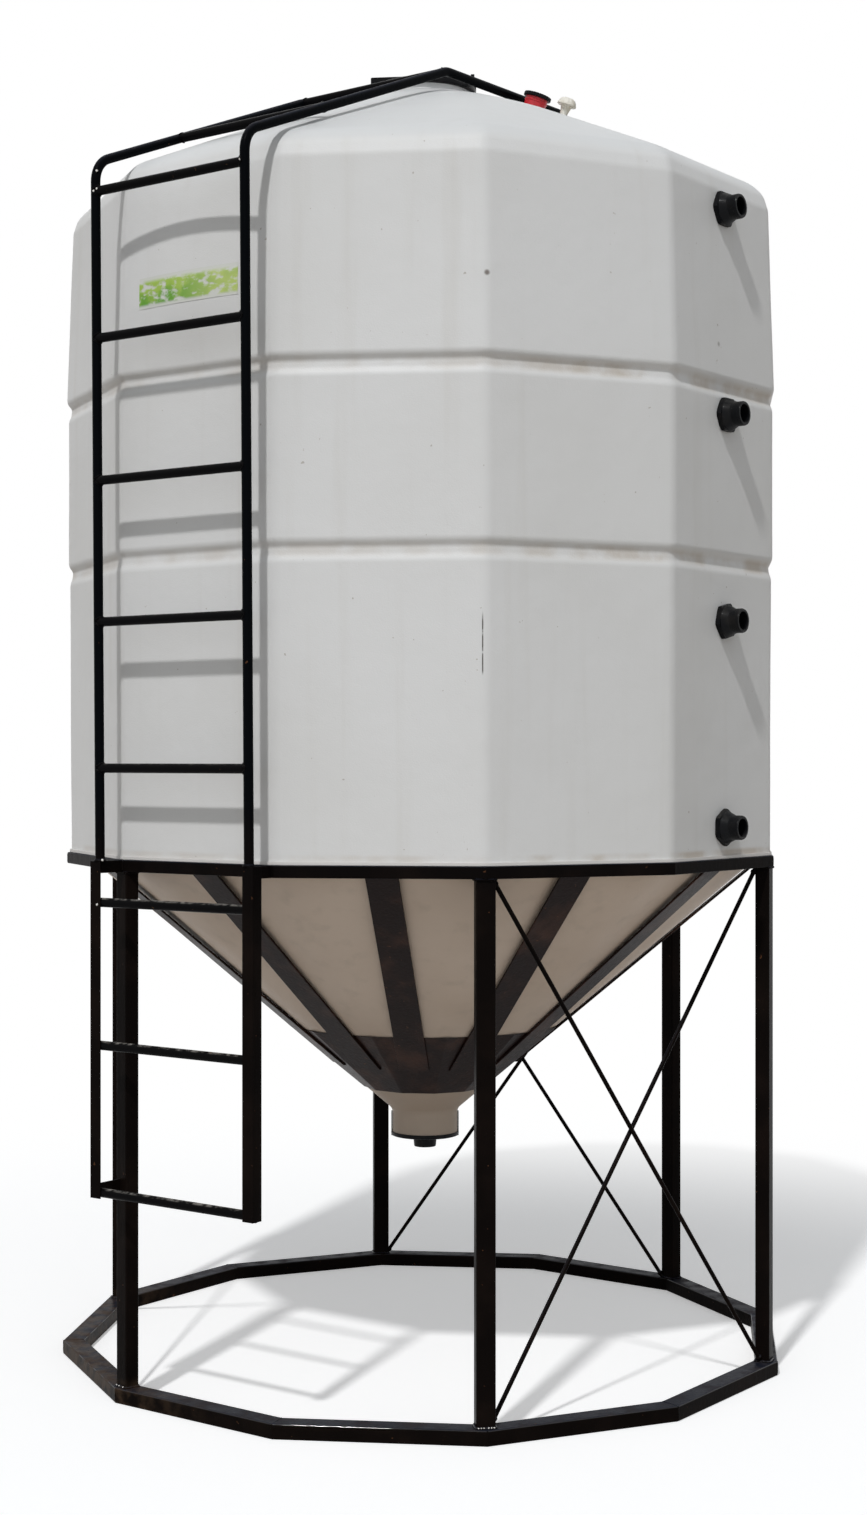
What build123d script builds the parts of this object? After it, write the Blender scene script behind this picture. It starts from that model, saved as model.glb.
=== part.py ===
from build123d import *
import os
from math import atan2, cos, degrees, hypot, radians, sin, tan

# Plastic hopper silo: a twelve-sided tank with a hopper bottom, carried by a welded steel stand.
# The origin is on the ground under the middle of the tank, +Z is up, and lengths are in millimetres.

# Plan: twelve sides, with corners every 30 degrees from +X
SIDES = 12
CORNER_STEP = 360 / SIDES
HALF_STEP = CORNER_STEP / 2
SLANT = cos(radians(HALF_STEP))

# Clearance of pieces that lie against a curved or sloping neighbour
seat_gap = 0.3

# Steel stand
beam_radius = 1044
beam_width = 50
beam_height = 32
base_spread = 12
base_tube_width = 60
base_tube_height = 40
leg_height = 1376
leg_width = 50
leg_depth = 40
leg_setback = 7
tube_corner = 4
LEG_STEP = 2 * CORNER_STEP
leg_angles = [CORNER_STEP + LEG_STEP * j for j in range(6)]
base_radius = beam_radius + base_spread
base_top = base_tube_height
beam_bottom = base_top + leg_height
beam_top = beam_bottom + beam_height
leg_middle = beam_radius - leg_setback - leg_depth / 2

# Cross bracing of every second bay; the rods aim past the bay's corners, into the tubes above and below
brace_diameter = 12
brace_overrun = 32
brace_bays = [30, 150, 270]

# Tank wall: three bands that flare downwards, parted by two grooves
wall_thickness = 10
tank_corner_round = 60
rim_setback = 5
rim_height = 9
wall_setback = 10
wall_height = 1809
groove_shares = [0.42675, 0.68657]
groove_ledge = 11
groove_floor = 28
groove_overhang = 15
groove_draft = 2
band_top_flares = [3, 7]
groove_flares = [-5, -2]
band_foot_flares = [7, 12]
wall_top_flare = -7
rim_radius = beam_radius - rim_setback
wall_foot_radius = beam_radius - wall_setback
wall_top_radius = wall_foot_radius + wall_top_flare
wall_bottom = beam_top + rim_height
wall_top = wall_bottom + wall_height
groove_rises = [share * wall_height for share in groove_shares]

# Roof: shoulder, twelve flat facets, and a flatter crown that grows round towards the lid
shoulder_inset = 43
shoulder_rise = 57
shoulder_bulge = 6
facet_end_radius = 440
facet_rise = 240
facet_end_roundness = 0.55
crown_radius = 245
crown_rise = 65
crown_roundness = 0.85
neck_radius = 138
neck_wall = 8
neck_foot_rise = 24
neck_height = 37
round_share = 0.93
shoulder_radius = wall_top_radius - shoulder_inset
shoulder_top = wall_top + shoulder_rise
facet_end_height = shoulder_top + facet_rise
crown_height = facet_end_height + crown_rise
neck_foot = crown_height + neck_foot_rise
neck_top = neck_foot + neck_height
hatch_radius = neck_radius - neck_wall

# Hopper and outlet
hopper_beam_gap = 16
hopper_corner_round = 250
hopper_knee_rise = 3
cone_height = 732
spout_radius = 96
spout_length = 68
outlet_flange_overhang = 4
outlet_flange_thickness = 12
outlet_nipple_radius = 35
outlet_nipple_length = 33
outlet_nipple_taper = 6
clip_angles = [171.5, 351.5]
clip_width = 26
clip_thickness = 3
clip_height = 58
hopper_top_radius = beam_radius - (beam_width + hopper_beam_gap) / SLANT
hopper_knee = beam_bottom + hopper_knee_rise
spout_top = hopper_knee - cone_height
spout_bottom = spout_top - spout_length

# Sheet collar and straps under the hopper, with heights above the spout
collar_thickness = 3
collar_top_rise = 254
collar_bottom_rise = 67
strap_width = 86
strap_thickness = 6
strap_end_rise = 145
strap_lap = 12
collar_top = spout_top + collar_top_rise
collar_bottom = spout_top + collar_bottom_rise
strap_end = spout_top + strap_end_rise

# Lid over the hatch
lid_wall = 6
lid_skirt_thickness = 12.4
lid_skirt_gap = 2
lid_lugs = 8
lug_width = 16
lug_depth = 9
lid_edge_round = 8
grip_angles = [171.5, 351.5]
grip_distance = 132
grip_length = 38
grip_width = 24
grip_height = 20
lid_inner_radius = neck_radius + 2 * seat_gap
lid_radius = lid_inner_radius + lid_skirt_thickness

# Fill socket and its cap, and the vent, on the roof facet at this corner angle
port_angle = 334
roof_bedding = 6
socket_distance = 327
socket_radius = 34
socket_height = 21
cap_overhang = 4
cap_height = 11
cap_chamfer = 2
vent_distance = 416
vent_foot_radius = 9.5
vent_stem_height = 30
vent_stem_flare = 12
vent_cap_radius = 28.5
vent_cap_height = 24
vent_cap_taper = 18

# Side fittings in a vertical line on one wall face, evenly spread between the lowest and the highest
fitting_face = 10
fitting_turns = [30, 12, 0, 0]
fitting_foot_rise = 76
fitting_top_drop = 69
fitting_hex = 88
fitting_flange = 14
fitting_shoulder = 18
fitting_shoulder_radius = 43
fitting_shoulder_taper = 24
fitting_radius = 33
fitting_length = 60
fitting_wall = 8
fitting_depth = 45

# Ladder on one wall face: angle-iron stiles below, bent tube rails above
ladder_face = 7
ladder_reach = 59
stile_half = 282
stile_drop = 856
angle_leg = 35
angle_thickness = 3
arm_thickness = 6
rung_diameter = 25
first_rung_rise = 12
rung_pitch = 377.5
rung_bend_gap = 50
rail_diameter = 25.4
rail_half = 259
rail_lean = 17
rail_bend_round = 75
rail_bend_rise = 20
rail_top_distance = 250
rail_end_distance = -330
rail_end_rise = 13
roof_rung_distance = 782
rail_bend_sink = 1.3
strut_thickness = 6
ladder_plane = beam_radius + ladder_reach
stile_bottom = beam_bottom - stile_drop
rail_bend_height = wall_top + rail_bend_rise


def face_angle(face):
    """Plan angle of the middle of a wall face."""
    return HALF_STEP + CORNER_STEP * face


def radial_plane(angle):
    """Upright plane through the axis: x runs outwards at the plan angle, y runs up."""
    a = radians(angle)
    return Plane(origin=(0, 0, 0), x_dir=(cos(a), sin(a), 0), z_dir=(sin(a), -cos(a), 0))


def outward_plane(angle, distance, height, tilt=0):
    """Plane that looks outwards at a plan angle: x runs along the face, y up; tilt turns it upwards."""
    a = radians(angle)
    t = radians(tilt)
    middle = (distance * cos(a), distance * sin(a), height)
    normal = (cos(a) * cos(t), sin(a) * cos(t), sin(t))
    return Plane(origin=middle, x_dir=(-sin(a), cos(a), 0), z_dir=normal)


def at_face(face, distance, along, height):
    """Point given by its distance from the axis and its place along a wall face."""
    a = radians(face_angle(face))
    return (distance * cos(a) - along * sin(a), distance * sin(a) + along * cos(a), height)


def offset_outline(outline, thickness):
    """Move an outline of (radius, height) points towards the inside of the shell."""
    moved = []
    for i, (radius, height) in enumerate(outline):
        before = outline[max(i - 1, 0)]
        after = outline[min(i + 1, len(outline) - 1)]
        along = hypot(after[0] - before[0], after[1] - before[1])
        moved.append((radius - thickness * (after[1] - before[1]) / along,
                      height + thickness * (after[0] - before[0]) / along))
    return moved


def stacked_polygons(outline, rounds, mode=Mode.ADD):
    """Twelve-sided solid through rounded polygons of the given corner radii and heights."""
    sections = []
    for (radius, height), corner in zip(outline, rounds):
        with BuildSketch(Plane.XY.offset(height)) as section:
            RegularPolygon(radius=radius, side_count=SIDES)
            fillet(vertices(), corner)
        sections.append(section.sketch)
    loft(sections, ruled=True, mode=mode)


def ring_bar(radius, width, height, bottom):
    """Closed ring of square-cut tube with mitred corners, seen in plan as a twelve-sided frame."""
    with BuildPart() as ring:
        with BuildSketch(Plane.XY.offset(bottom)):
            RegularPolygon(radius=radius, side_count=SIDES)
            RegularPolygon(radius=radius - width / SLANT, side_count=SIDES, mode=Mode.SUBTRACT)
        extrude(amount=height)
    return ring.part


def write(part, name):
    """Label a finished piece and write it to its own file."""
    part.label = name
    export_step(part, f"parts/{name}.step")


os.makedirs("parts", exist_ok=True)

# Base ring on the ground
with BuildPart() as base_ring:
    add(ring_bar(base_radius, base_tube_width, base_tube_height, 0))
write(base_ring.part, "base_ring")

# Ring beam under the tank
with BuildPart() as ring_beam:
    add(ring_bar(beam_radius, beam_width, beam_height, beam_bottom))
write(ring_beam.part, "ring_beam")

# Six legs at every second corner
legs = []
for number, angle in enumerate(leg_angles, start=1):
    with BuildPart() as leg:
        a = radians(angle)
        foot = Plane(origin=(leg_middle * cos(a), leg_middle * sin(a), base_top),
                     x_dir=(cos(a), sin(a), 0), z_dir=(0, 0, 1))
        with BuildSketch(foot):
            RectangleRounded(leg_depth, leg_width, tube_corner)
        extrude(amount=leg_height)
    legs.append(leg.part)
    write(leg.part, f"leg_{number}")

# Crossed round rods in every second bay, one just inside the other where they pass
for number, bay in enumerate(brace_bays, start=1):
    with BuildPart() as brace:
        shift = (brace_diameter + seat_gap) / 2 / cos(radians(LEG_STEP / 2))
        for start, end, side in ((bay, bay + LEG_STEP, shift), (bay + LEG_STEP, bay, -shift)):
            radius = leg_middle + side
            high = Vector(radius * cos(radians(start)), radius * sin(radians(start)), beam_bottom + brace_overrun)
            low = Vector(radius * cos(radians(end)), radius * sin(radians(end)), base_top - brace_overrun)
            with BuildSketch(Plane(origin=high, z_dir=low - high)):
                Circle(brace_diameter / 2)
            extrude(amount=(low - high).length)
        with BuildSketch(Plane.XY.offset(base_top)):
            Circle(beam_radius)
        extrude(amount=leg_height, mode=Mode.INTERSECT)
        for post in legs:
            add(post, mode=Mode.SUBTRACT)
    write(brace.part, f"brace_{number}")

# Tank wall: outline of one side as corner radius against height, from the rim up
wall_outline = [(wall_foot_radius, wall_bottom)]
for rise, below, inside, above in zip(groove_rises, band_top_flares, groove_flares, band_foot_flares):
    ledge = wall_bottom + rise
    ceiling = ledge + groove_ledge + groove_floor
    wall_outline += [(wall_foot_radius + below, ledge),
                     (wall_foot_radius + inside + groove_draft, ledge + groove_ledge),
                     (wall_foot_radius + inside, ceiling),
                     (wall_foot_radius + above, ceiling + groove_overhang)]
wall_outline.append((wall_top_radius, wall_top))
wall_inner = [(radius - wall_thickness / SLANT, height) for radius, height in wall_outline]
wall_rounds = [tank_corner_round] * len(wall_outline)
inner_rounds = [tank_corner_round - wall_thickness] * len(wall_outline)

# One face of the wall, cut out of the tank along its corners, then turned into all twelve
with BuildPart() as first_panel:
    stacked_polygons(wall_outline, wall_rounds)
    stacked_polygons(wall_inner, inner_rounds, mode=Mode.SUBTRACT)
    with BuildSketch(Plane.XY.offset(wall_bottom)):
        reach = 2 * beam_radius
        with BuildLine():
            Polyline((0, 0), (reach, 0), (reach * cos(radians(CORNER_STEP)), reach * sin(radians(CORNER_STEP))),
                     close=True)
        make_face()
    extrude(amount=wall_top - wall_bottom, mode=Mode.INTERSECT)
for face in range(SIDES):
    with BuildPart() as wall_panel:
        with Locations(Location((0, 0, 0), (0, 0, CORNER_STEP * face))):
            add(first_panel.part)
    write(wall_panel.part, f"wall_panel_{face + 1:02d}")

# Roof: shoulder, facets and crown as one shell, with a round neck for the hatch
roof_outline = [(wall_top_radius, wall_top),
                ((wall_top_radius + shoulder_radius) / 2 + shoulder_bulge,
                 (wall_top + shoulder_top) / 2 + shoulder_bulge),
                (shoulder_radius, shoulder_top),
                (facet_end_radius, facet_end_height),
                (crown_radius, crown_height),
                (neck_radius, neck_foot)]
roof_rounds = [tank_corner_round, tank_corner_round, tank_corner_round,
               facet_end_roundness * facet_end_radius, crown_roundness * crown_radius, round_share * neck_radius]
roof_inner = offset_outline(roof_outline, wall_thickness)
roof_inner[0] = wall_inner[-1]
roof_inner[-1] = (hatch_radius, neck_foot - wall_thickness)
roof_inner_rounds = [tank_corner_round - wall_thickness, *roof_rounds[1:-1], round_share * hatch_radius]
with BuildPart() as roof:
    stacked_polygons(roof_outline, roof_rounds)
    with BuildSketch(Plane.XY.offset(neck_foot - wall_thickness)):
        Circle(neck_radius)
    extrude(amount=neck_top - neck_foot + wall_thickness)
    stacked_polygons(roof_inner, roof_inner_rounds, mode=Mode.SUBTRACT)
    with BuildSketch(Plane.XY.offset(crown_height - wall_thickness)):
        Circle(hatch_radius)
    extrude(amount=neck_top - crown_height + wall_thickness, mode=Mode.SUBTRACT)
write(roof.part, "roof")

# Hopper: flat rim on the ring beam, twelve-sided cone, round spout
hopper_outline = [(spout_radius, spout_top), (hopper_top_radius, hopper_knee), (hopper_top_radius, wall_bottom)]
hopper_rounds = [round_share * spout_radius, hopper_corner_round, hopper_corner_round]
cone_angle = atan2(hopper_knee - spout_top, (hopper_top_radius - spout_radius) * SLANT)
cone_drop = wall_thickness / cos(cone_angle)
throat_radius = spout_radius - wall_thickness
hopper_hollow = [(throat_radius, spout_top + cone_drop - wall_thickness * tan(cone_angle)),
                 (hopper_top_radius - wall_thickness / SLANT,
                  hopper_knee + cone_drop - wall_thickness * tan(cone_angle)),
                 (hopper_top_radius - wall_thickness / SLANT, wall_bottom)]
inner_round = hopper_corner_round - wall_thickness
hollow_rounds = [round_share * throat_radius, inner_round, inner_round]
with BuildPart() as hopper:
    with BuildSketch(Plane.XY.offset(beam_top)):
        RegularPolygon(radius=rim_radius, side_count=SIDES)
        fillet(vertices(), tank_corner_round)
    extrude(amount=rim_height)
    stacked_polygons(hopper_outline, hopper_rounds)
    with BuildSketch(Plane.XY.offset(spout_bottom)):
        Circle(spout_radius)
    extrude(amount=spout_length + wall_thickness)
    stacked_polygons(hopper_hollow, hollow_rounds, mode=Mode.SUBTRACT)
    with BuildSketch(Plane.XY.offset(spout_bottom)):
        Circle(throat_radius)
    extrude(amount=spout_length + 3 * wall_thickness, mode=Mode.SUBTRACT)
write(hopper.part, "hopper")

# Outlet closure under the spout: flange and short nipple
with BuildPart() as outlet_cap:
    with BuildSketch(Plane.XY.offset(spout_bottom - outlet_flange_thickness)):
        Circle(spout_radius + outlet_flange_overhang)
    extrude(amount=outlet_flange_thickness)
    with BuildSketch(Plane.XY.offset(spout_bottom - outlet_flange_thickness)):
        Circle(outlet_nipple_radius)
    extrude(amount=-outlet_nipple_length, taper=outlet_nipple_taper)
    clip_inner = spout_radius + seat_gap
    for angle in clip_angles:
        with BuildSketch(radial_plane(angle)):
            with BuildLine():
                Polyline((clip_inner, spout_bottom - outlet_flange_thickness),
                         (clip_inner + clip_thickness, spout_bottom - outlet_flange_thickness),
                         (clip_inner + clip_thickness, spout_bottom + clip_height),
                         (clip_inner, spout_bottom + clip_height),
                         close=True)
            make_face()
        extrude(amount=clip_width / 2, both=True)
write(outlet_cap.part, "outlet_cap")


def cone_radius(height):
    """Corner radius of the hopper's outside at a height."""
    share = (height - spout_top) / (hopper_knee - spout_top)
    return spout_radius + share * (hopper_top_radius - spout_radius)


# Sheet collar around the lower cone
collar_in = seat_gap / sin(cone_angle) / SLANT
collar_out = (seat_gap + collar_thickness) / sin(cone_angle) / SLANT
with BuildPart() as hopper_collar:
    for growth, mode in ((collar_out, Mode.ADD), (collar_in, Mode.SUBTRACT)):
        for height in (collar_bottom, collar_top):
            with BuildSketch(Plane.XY.offset(height)):
                RegularPolygon(radius=cone_radius(height) + growth, side_count=SIDES)
        loft(ruled=True, mode=mode)
write(hopper_collar.part, "hopper_collar")

# Twelve flat straps from under the ring beam straight down on to the collar, clear of the cone above it
strap_in = (2 * seat_gap + collar_thickness) / sin(cone_angle)
strap_span = strap_thickness / sin(cone_angle)
strap_head = beam_radius * SLANT - beam_width + strap_lap
strap_foot = cone_radius(strap_end) * SLANT + strap_in + strap_span
for face in range(SIDES):
    with BuildPart() as strap:
        with BuildSketch(radial_plane(face_angle(face))):
            with BuildLine():
                Polyline((strap_head - strap_span, beam_bottom), (strap_head, beam_bottom),
                         (strap_foot, strap_end), (strap_foot - strap_span, strap_end), close=True)
            make_face()
        extrude(amount=strap_width / 2, both=True)
    write(strap.part, f"hopper_strap_{face + 1:02d}")

# Screw lid over the hatch neck, with grip lugs round its edge and two upright grips
lid_top = neck_top + lid_wall
lid_height = lid_top - neck_foot - lid_skirt_gap
with BuildPart() as lid:
    with BuildSketch(Plane.XY.offset(lid_top - lid_height)):
        Circle(lid_radius)
    extrude(amount=lid_height)
    fillet(edges().filter_by(GeomType.CIRCLE).sort_by(Axis.Z)[-1], lid_edge_round)
    with BuildSketch(Plane.XY.offset(lid_top - lid_height)):
        with PolarLocations(lid_radius, lid_lugs):
            Rectangle(2 * lug_depth, lug_width)
    extrude(amount=lid_height - lid_edge_round)
    for angle in grip_angles:
        with BuildSketch(Plane.XY.offset(lid_top - lid_edge_round)):
            with PolarLocations(grip_distance, 1, start_angle=angle):
                Rectangle(grip_length, grip_width)
        extrude(amount=lid_edge_round + grip_height)
    with BuildSketch(Plane.XY.offset(lid_top - lid_height)):
        Circle(lid_inner_radius)
    extrude(amount=lid_height - lid_wall, mode=Mode.SUBTRACT)
write(lid.part, "lid")


def roof_height(radius):
    """Height of the roof's corner line at a radius."""
    for (outer, low), (inner, high) in zip(roof_outline, roof_outline[1:]):
        if inner <= radius <= outer:
            return low + (high - low) * (outer - radius) / (outer - inner)
    return neck_foot


def on_roof(distance):
    """Plane on the roof, square to its slope, at a distance from the axis."""
    fall = roof_height(distance - socket_radius) - roof_height(distance + socket_radius)
    return outward_plane(port_angle, distance, roof_height(distance), 90 - degrees(atan2(fall, 2 * socket_radius)))


# Fill socket and its cap
with BuildPart() as fill_socket:
    with BuildSketch(on_roof(socket_distance).offset(-roof_bedding)):
        Circle(socket_radius)
    extrude(amount=roof_bedding + socket_height)
    add(roof.part, mode=Mode.SUBTRACT)
write(fill_socket.part, "fill_socket")
with BuildPart() as fill_cap:
    with BuildSketch(on_roof(socket_distance).offset(socket_height)):
        Circle(socket_radius + cap_overhang)
    extrude(amount=cap_height)
    chamfer(edges().filter_by(GeomType.CIRCLE), cap_chamfer)
write(fill_cap.part, "fill_cap")

# Mushroom vent
with BuildPart() as vent:
    with BuildSketch(on_roof(vent_distance).offset(-roof_bedding)):
        Circle(vent_foot_radius)
    extrude(amount=roof_bedding + vent_stem_height, taper=-vent_stem_flare)
    add(roof.part, mode=Mode.SUBTRACT)
    with BuildSketch(on_roof(vent_distance).offset(vent_stem_height)):
        Circle(vent_cap_radius)
    extrude(amount=vent_cap_height, taper=vent_cap_taper)
write(vent.part, "vent")


def wall_radius(height):
    """Corner radius of the wall at a height."""
    for (lower, bottom), (upper, top) in zip(wall_outline, wall_outline[1:]):
        if bottom <= height <= top:
            return lower + (upper - lower) * (height - bottom) / (top - bottom)
    return wall_top_radius


# Side fittings: hexagon flange, tapered shoulder, round nipple with a blind mouth
fitting_step = (wall_height - fitting_top_drop - fitting_foot_rise) / (len(fitting_turns) - 1)
for number, turn in enumerate(fitting_turns, start=1):
    height = wall_bottom + fitting_foot_rise + fitting_step * (number - 1)
    fall = (wall_radius(height - fitting_radius) - wall_radius(height + fitting_radius)) * SLANT
    flare = degrees(atan2(fall, 2 * fitting_radius))
    seat = outward_plane(face_angle(fitting_face), wall_radius(height) * SLANT, height, flare)
    with BuildPart() as fitting:
        with BuildSketch(seat):
            RegularPolygon(radius=fitting_hex / 2, side_count=6, major_radius=False, rotation=turn)
        extrude(amount=fitting_flange)
        with BuildSketch(seat.offset(fitting_flange)):
            Circle(fitting_shoulder_radius)
        extrude(amount=fitting_shoulder, taper=fitting_shoulder_taper)
        with BuildSketch(seat.offset(fitting_flange)):
            Circle(fitting_radius)
        extrude(amount=fitting_length - fitting_flange)
        with BuildSketch(seat.offset(fitting_length)):
            Circle(fitting_radius - fitting_wall)
        extrude(amount=-fitting_depth, mode=Mode.SUBTRACT)
    write(fitting.part, f"side_fitting_{number}")

# Lower ladder stiles of angle iron, each with its arm to the ring beam
beam_face = beam_radius * SLANT
for name, side in (("left", -1), ("right", 1)):
    with BuildPart() as stile:
        corner = at_face(ladder_face, ladder_plane, side * stile_half, stile_bottom)
        a = radians(face_angle(ladder_face))
        with BuildSketch(Plane(origin=corner, x_dir=(cos(a), sin(a), 0), z_dir=(0, 0, 1))):
            with BuildLine():
                Polyline((0, 0), (-angle_leg, 0), (-angle_leg, -side * angle_thickness),
                         (-angle_thickness, -side * angle_thickness), (-angle_thickness, -side * angle_leg),
                         (0, -side * angle_leg), close=True)
            make_face()
        extrude(amount=beam_top - stile_bottom)
        arm_plane = outward_plane(face_angle(ladder_face), beam_face, beam_bottom)
        with BuildSketch(arm_plane):
            with Locations((side * rail_half, beam_height / 2)):
                Rectangle(arm_thickness, beam_height)
        extrude(amount=ladder_plane - angle_thickness - beam_face)
    write(stile.part, f"ladder_stile_{name}")

# Upper ladder rails: tube from the arms up the wall, bent over the shoulder and along the roof
rail_distance = ladder_plane - rail_diameter / 2
rail_bend_distance = rail_distance + rail_lean
rail_top_height = roof_height(rail_top_distance) + rail_diameter / 2 + seat_gap
rail_parts = []
for name, side in (("left", -1), ("right", 1)):
    with BuildPart() as rail:
        with BuildLine():
            FilletPolyline(at_face(ladder_face, rail_distance, side * rail_half, beam_top),
                           at_face(ladder_face, rail_bend_distance, side * rail_half, rail_bend_height),
                           at_face(ladder_face, rail_top_distance, side * rail_half, rail_top_height),
                           at_face(ladder_face, rail_end_distance, side * rail_half, rail_top_height + rail_end_rise),
                           radius=rail_bend_round)
        with BuildSketch(Plane.XY.offset(beam_top)):
            with Locations(at_face(ladder_face, rail_distance, side * rail_half, 0)[:2]):
                Circle(rail_diameter / 2)
        sweep()
    rail_parts.append(rail.part)
    write(rail.part, f"ladder_rail_{name}")


def rung(half_length, distance, height):
    """Round rung across the ladder."""
    start = at_face(ladder_face, distance, -half_length, height)
    a = radians(face_angle(ladder_face))
    with BuildSketch(Plane(origin=start, x_dir=(0, 0, 1), z_dir=(-sin(a), cos(a), 0))) as section:
        Circle(rung_diameter / 2)
    extrude(section.sketch, amount=2 * half_length)


# Lower rungs between the stiles
first_rung = stile_bottom + first_rung_rise
rung_steps = int((rail_bend_height - rung_bend_gap - first_rung) / rung_pitch)
rung_heights = [first_rung + rung_pitch * step for step in range(rung_steps + 1)]
with BuildPart() as ladder_rungs_lower:
    for height in rung_heights:
        if height < beam_bottom - rung_diameter:
            rung(stile_half - angle_thickness, ladder_plane - angle_thickness - rung_diameter / 2, height)
write(ladder_rungs_lower.part, "ladder_rungs_lower")

# Upper rungs between the rails, with ends shaped to the tubes
with BuildPart() as ladder_rungs_upper:
    for height in rung_heights:
        if height > beam_top + rung_diameter:
            lean = rail_lean * (height - beam_top) / (rail_bend_height - beam_top)
            rung(rail_half, rail_distance + lean, height)
    for part in rail_parts:
        add(part, mode=Mode.SUBTRACT)
write(ladder_rungs_upper.part, "ladder_rungs_upper")

# Rungs over the roof: one on the slope and one at the upper bend
slope_share = (rail_bend_distance - roof_rung_distance) / (rail_bend_distance - rail_top_distance)
with BuildPart() as roof_rungs:
    rung(rail_half, roof_rung_distance, rail_bend_height + slope_share * (rail_top_height - rail_bend_height))
    rung(rail_half, rail_top_distance, rail_top_height - rail_bend_sink)
    for part in rail_parts:
        add(part, mode=Mode.SUBTRACT)
write(roof_rungs.part, "roof_rungs")

# Strut from the foot of the left stile back to the nearest leg
with BuildPart() as ladder_strut:
    strut_start = leg_middle * SLANT
    strut_tip = ladder_plane - angle_thickness - rung_diameter - seat_gap
    with BuildSketch(outward_plane(face_angle(ladder_face), strut_start, stile_bottom)):
        with Locations((-(stile_half - angle_thickness - strut_thickness / 2), angle_leg / 2)):
            Rectangle(strut_thickness, angle_leg)
    extrude(amount=strut_tip - strut_start)
    for post in legs:
        add(post, mode=Mode.SUBTRACT)
write(ladder_strut.part, "ladder_strut")
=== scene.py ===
from math import atan2, cos, pi, radians, sin, sqrt

import bpy
from mathutils import Matrix, Vector, noise


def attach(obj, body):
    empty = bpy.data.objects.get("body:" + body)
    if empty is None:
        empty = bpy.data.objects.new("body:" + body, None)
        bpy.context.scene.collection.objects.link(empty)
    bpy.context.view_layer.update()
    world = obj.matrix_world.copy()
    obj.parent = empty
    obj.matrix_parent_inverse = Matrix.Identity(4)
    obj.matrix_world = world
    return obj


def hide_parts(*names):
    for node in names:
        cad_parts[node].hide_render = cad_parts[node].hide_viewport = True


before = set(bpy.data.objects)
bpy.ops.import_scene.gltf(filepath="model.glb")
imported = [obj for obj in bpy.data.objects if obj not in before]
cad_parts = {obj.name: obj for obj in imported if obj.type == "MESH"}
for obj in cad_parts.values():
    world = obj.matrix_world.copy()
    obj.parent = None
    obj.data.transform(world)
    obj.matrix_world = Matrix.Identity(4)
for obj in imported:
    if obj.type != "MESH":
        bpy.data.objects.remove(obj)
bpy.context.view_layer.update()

# Viewpoint: a camera at eye height, held level, 6.7 m from the tank's axis and looking past the front
# leg. The picture is moved a few of its own pixels sideways.
heading = radians(81.5)
distance = 6.708
eye_height = 1.721
picture_height = 1515
picture_shift = 8.5
camera_data = bpy.data.cameras.new("viewpoint")
camera_data.sensor_fit = "VERTICAL"
camera_data.sensor_height = 36
camera_data.lens = 53.94
camera_data.shift_x = picture_shift / picture_height
camera = bpy.data.objects.new("viewpoint", camera_data)
camera.location = (-distance * cos(heading), -distance * sin(heading), eye_height)
camera.rotation_euler = (pi / 2, 0, heading - pi / 2)
bpy.context.scene.collection.objects.link(camera)
bpy.context.scene.camera = camera
bpy.context.scene.view_settings.view_transform = "Standard"


# Floor and light: a pale studio floor that fades to white, one lamp high on the left of the viewpoint,
# and a pale surround that is brightest behind the viewpoint.
class Signal:
    """A value on its way through the nodes; arithmetic on it adds the Math nodes."""

    def __init__(self, owner, socket):
        self.owner = owner
        self.socket = socket

    def apply(self, operation, *values):
        return self.owner.node("ShaderNodeMath", {"operation": operation}, dict(enumerate(values)))

    def __add__(self, other):
        return self.apply("ADD", self, other)

    def __radd__(self, other):
        return self.apply("ADD", other, self)

    def __sub__(self, other):
        return self.apply("SUBTRACT", self, other)

    def __rsub__(self, other):
        return self.apply("SUBTRACT", other, self)

    def __mul__(self, other):
        return self.apply("MULTIPLY", self, other)

    def __rmul__(self, other):
        return self.apply("MULTIPLY", other, self)

    def __abs__(self):
        return self.apply("ABSOLUTE", self)

    def larger(self, other):
        return self.apply("MAXIMUM", self, other)


class Shading:
    """The nodes of one surround or finish, all made by one method."""

    def __init__(self, tree):
        self.tree = tree

    def node(self, kind, settings=None, values=None, output=0):
        made = self.tree.nodes.new(kind)
        for name, value in (settings or {}).items():
            setattr(made, name, value)
        for name, value in (values or {}).items():
            if isinstance(value, Signal):
                self.tree.links.new(value.socket, made.inputs[name])
            else:
                made.inputs[name].default_value = value
        return Signal(self, made.outputs[output])

    def looked_at(self):
        """1 for what shows from the viewpoint, straight on, mirrored or through glass, else 0."""
        rays = ("Is Camera Ray", "Is Glossy Ray", "Is Transmission Ray")
        straight, mirrored, through = [self.node("ShaderNodeLightPath", output=ray) for ray in rays]
        return straight.larger(mirrored).larger(through)

    def choice(self, factor, first, second):
        return self.node("ShaderNodeMixShader", {}, {0: factor, 1: first, 2: second})

    def end_in(self, output, signal):
        self.tree.links.new(signal.socket, self.tree.nodes[output].inputs["Surface"])


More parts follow.
